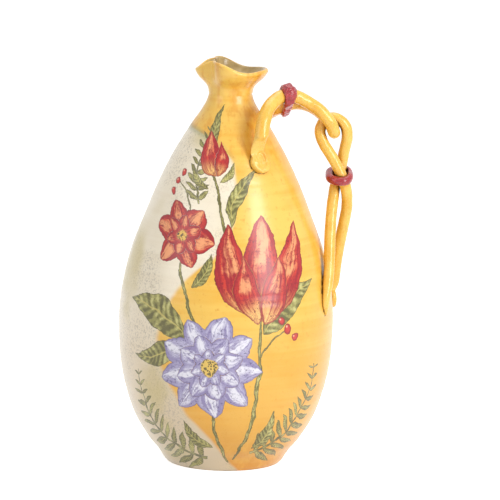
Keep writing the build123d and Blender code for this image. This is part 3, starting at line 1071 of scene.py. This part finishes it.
class JUG_OT_pot(bpy.types.Operator):
    """Models the thrown pot and paints it"""
    bl_idname = "jug.pot"
    bl_label = "Pot"

    def execute(self, context):
        pot, _, colours = settings()
        make_pot(pot, painted_glaze(colours))
        return {"FINISHED"}


class JUG_OT_rolls(bpy.types.Operator):
    """Models the two linked rolls with the pads at their roots"""
    bl_idname = "jug.rolls"
    bl_label = "Rolls and pads"

    def execute(self, context):
        _, clay, colours = settings()
        material = roll_glaze(colours)
        for name, coil, pads in (("upper_roll", "arch_coil", ("front_root_pad", "back_root_pad")),
                                 ("lower_roll", "link_coil", ("link_root_pad",))):
            mesh = clay_copy(name, (coil, *pads), clay.roll_grain, roll_smoothing)
            worked(mesh, finger_marks)
            piece = add_piece(name, mesh, material)
            if name == "upper_roll":
                for pad in pads:
                    pressed_stamp(piece, pad, clay)
            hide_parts(coil, *pads)
        return {"FINISHED"}


class JUG_OT_ties(bpy.types.Operator):
    """Models the red band, knot and ring"""
    bl_idname = "jug.ties"
    bl_label = "Ties"

    def execute(self, context):
        _, clay, colours = settings()
        material = tie_glaze(colours)
        low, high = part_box("link_tie_ring")
        tilt = radians(14)
        wrung = wrung_round((low + high) / 2, Vector((0, -sin(tilt), cos(tilt))))
        for name, node, smoothing, relief in (("tie_band", "arch_tie_band", 26, pinched_lumps),
                                              ("tie_knot", "arch_tie_knot", 6, sponge_lumps),
                                              ("tie_ring", "link_tie_ring", 60, wrung)):
            mesh = clay_copy(name, (node,), clay.tie_grain, smoothing)
            if name == "tie_band":
                drawn_in(mesh, node)
            worked(mesh, relief)
            kept_within(mesh, cad_box[1][0])
            piece = add_piece(name, mesh, material)
            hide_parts(node)
        return {"FINISHED"}


class JUG_OT_pooled_glaze_and_shade(bpy.types.Operator):
    """Marks where neighbouring pieces close the surface in, for pooled glaze and painted shade"""
    bl_idname = "jug.glaze_pools"
    bl_label = "Glaze pools"

    def execute(self, context):
        _, clay, _ = settings()
        crevices(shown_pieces(), clay.crevice_reach)
        return {"FINISHED"}


def seen_rays(wiring):
    """1 for rays that show a thing: straight, in a reflection or through glass."""
    rays = wiring.add("ShaderNodeLightPath").outputs
    camera, glossy, through = (
        Value(wiring, rays[f"Is {kind} Ray"]) for kind in ("Camera", "Glossy", "Transmission"))
    return camera.most(through).most(glossy)


def floor_material():
    """A white floor that keeps the jug's shadow."""
    material = bpy.data.materials.new("studio_floor")
    wiring, surface = start_tree(material, "ShaderNodeOutputMaterial")
    plain = wiring.result("ShaderNodeBsdfDiffuse", {"Color": (0.82, 0.82, 0.82)})
    glow = wiring.result("ShaderNodeEmission", {"Strength": seen_rays(wiring) * 0.75})
    wiring.join(wiring.result("ShaderNodeAddShader", {0: plain, 1: glow}), surface)
    return material


def studio_world():
    """Soft light from all round, and white where it is seen."""
    world = bpy.data.worlds.new("studio")
    wiring, surface = start_tree(world, "ShaderNodeOutputWorld")
    light, white = (wiring.result("ShaderNodeBackground", {"Color": (1.0, 1.0, 1.0), "Strength": strength})
                    for strength in (0.46, 1.0))
    wiring.join(wiring.result("ShaderNodeMixShader", {0: seen_rays(wiring), 1: light, 2: white}), surface)
    return world


# The lamps: name, place, size and power. All are aimed at the jug's middle.
lamps = (
    ("key_lamp", (0.95, -0.90, 0.70), (0.5, 0.9), 12.5),
    ("fill_lamp", (-1.3, -0.8, 0.8), (0.9, 0.9), 4.6),
    ("top_lamp", (0.0, 0.2, 1.5), (1.0, 1.0), 6.0),
)
lamp_target = Vector((0.02, 0.0, 0.17))


def softbox(name, place, size, power):
    """A soft lamp aimed at the jug."""
    data = bpy.data.lights.new(name, "AREA")
    data.shape = "RECTANGLE"
    data.size, data.size_y = size
    data.energy = power
    lamp = bpy.data.objects.new(name, data)
    lamp.location = place
    lamp.rotation_euler = (lamp_target - Vector(place)).to_track_quat("-Z", "Y").to_euler()
    return lamp


def photo_camera():
    """The camera at the photograph's angle, with its long lens and slight lean."""
    elevation, lean, distance = radians(9.5), radians(1.25), 3.0
    aim = Vector((0.0181, 0.0, 0.1711))
    data = bpy.data.cameras.new("camera")
    data.lens, data.sensor_width = 270.0, 36.0
    data.clip_start, data.clip_end = 0.1, 20.0
    camera = bpy.data.objects.new("camera", data)
    camera.location = aim + Vector((0, -cos(elevation), sin(elevation))) * distance
    facing = (aim - camera.location).to_track_quat("-Z", "Y").to_matrix()
    camera.rotation_euler = (facing @ Matrix.Rotation(lean, 3, "Z")).to_euler()
    return camera


def make_floor():
    """The floor that the jug stands on."""
    shape = bmesh.new()
    bmesh.ops.create_grid(shape, x_segments=1, y_segments=1, size=6.0)
    mesh = bpy.data.meshes.new("studio_floor")
    shape.to_mesh(mesh)
    shape.free()
    mesh.materials.append(floor_material())
    return bpy.data.objects.new("studio_floor", mesh)


class JUG_OT_stage(bpy.types.Operator):
    """Sets the floor, the lamps and the camera"""
    bl_idname = "jug.stage"
    bl_label = "Stage"

    def execute(self, context):
        scene = context.scene
        floor, camera = make_floor(), photo_camera()
        for thing in (floor, camera, *(softbox(*lamp) for lamp in lamps)):
            scene.collection.objects.link(thing)
        floor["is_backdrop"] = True
        scene.camera = camera
        scene.world = studio_world()
        scene.view_settings.view_transform = "Standard"
        return {"FINISHED"}


class JUG_PT_panel(bpy.types.Panel):
    """Shows the jug's steps and settings in the sidebar"""
    bl_idname = "JUG_PT_panel"
    bl_label = "Jug"
    bl_space_type = "VIEW_3D"
    bl_region_type = "UI"
    bl_category = "Jug"

    def draw(self, context):
        for kind in operators:
            self.layout.operator(kind.bl_idname)
        for group in settings():
            for name in group.bl_rna.properties.keys():
                if name not in ("rna_type", "name"):
                    self.layout.prop(group, name)


operators = (JUG_OT_pot, JUG_OT_rolls, JUG_OT_ties, JUG_OT_pooled_glaze_and_shade, JUG_OT_stage)
classes = (JugPotSizes, JugClaySizes, JugColours, *operators, JUG_PT_panel)


def register():
    for kind in classes:
        bpy.utils.register_class(kind)
    bpy.types.Scene.jug_pot = PointerProperty(type=JugPotSizes)
    bpy.types.Scene.jug_clay = PointerProperty(type=JugClaySizes)
    bpy.types.Scene.jug_colours = PointerProperty(type=JugColours)


def unregister():
    del bpy.types.Scene.jug_pot
    del bpy.types.Scene.jug_clay
    del bpy.types.Scene.jug_colours
    for kind in reversed(classes):
        bpy.utils.unregister_class(kind)


def main():
    """Builds the jug and its stage."""
    register()
    bpy.ops.jug.pot()
    bpy.ops.jug.rolls()
    bpy.ops.jug.ties()
    bpy.ops.jug.glaze_pools()
    bpy.ops.jug.stage()


if __name__ == "__main__":
    main()
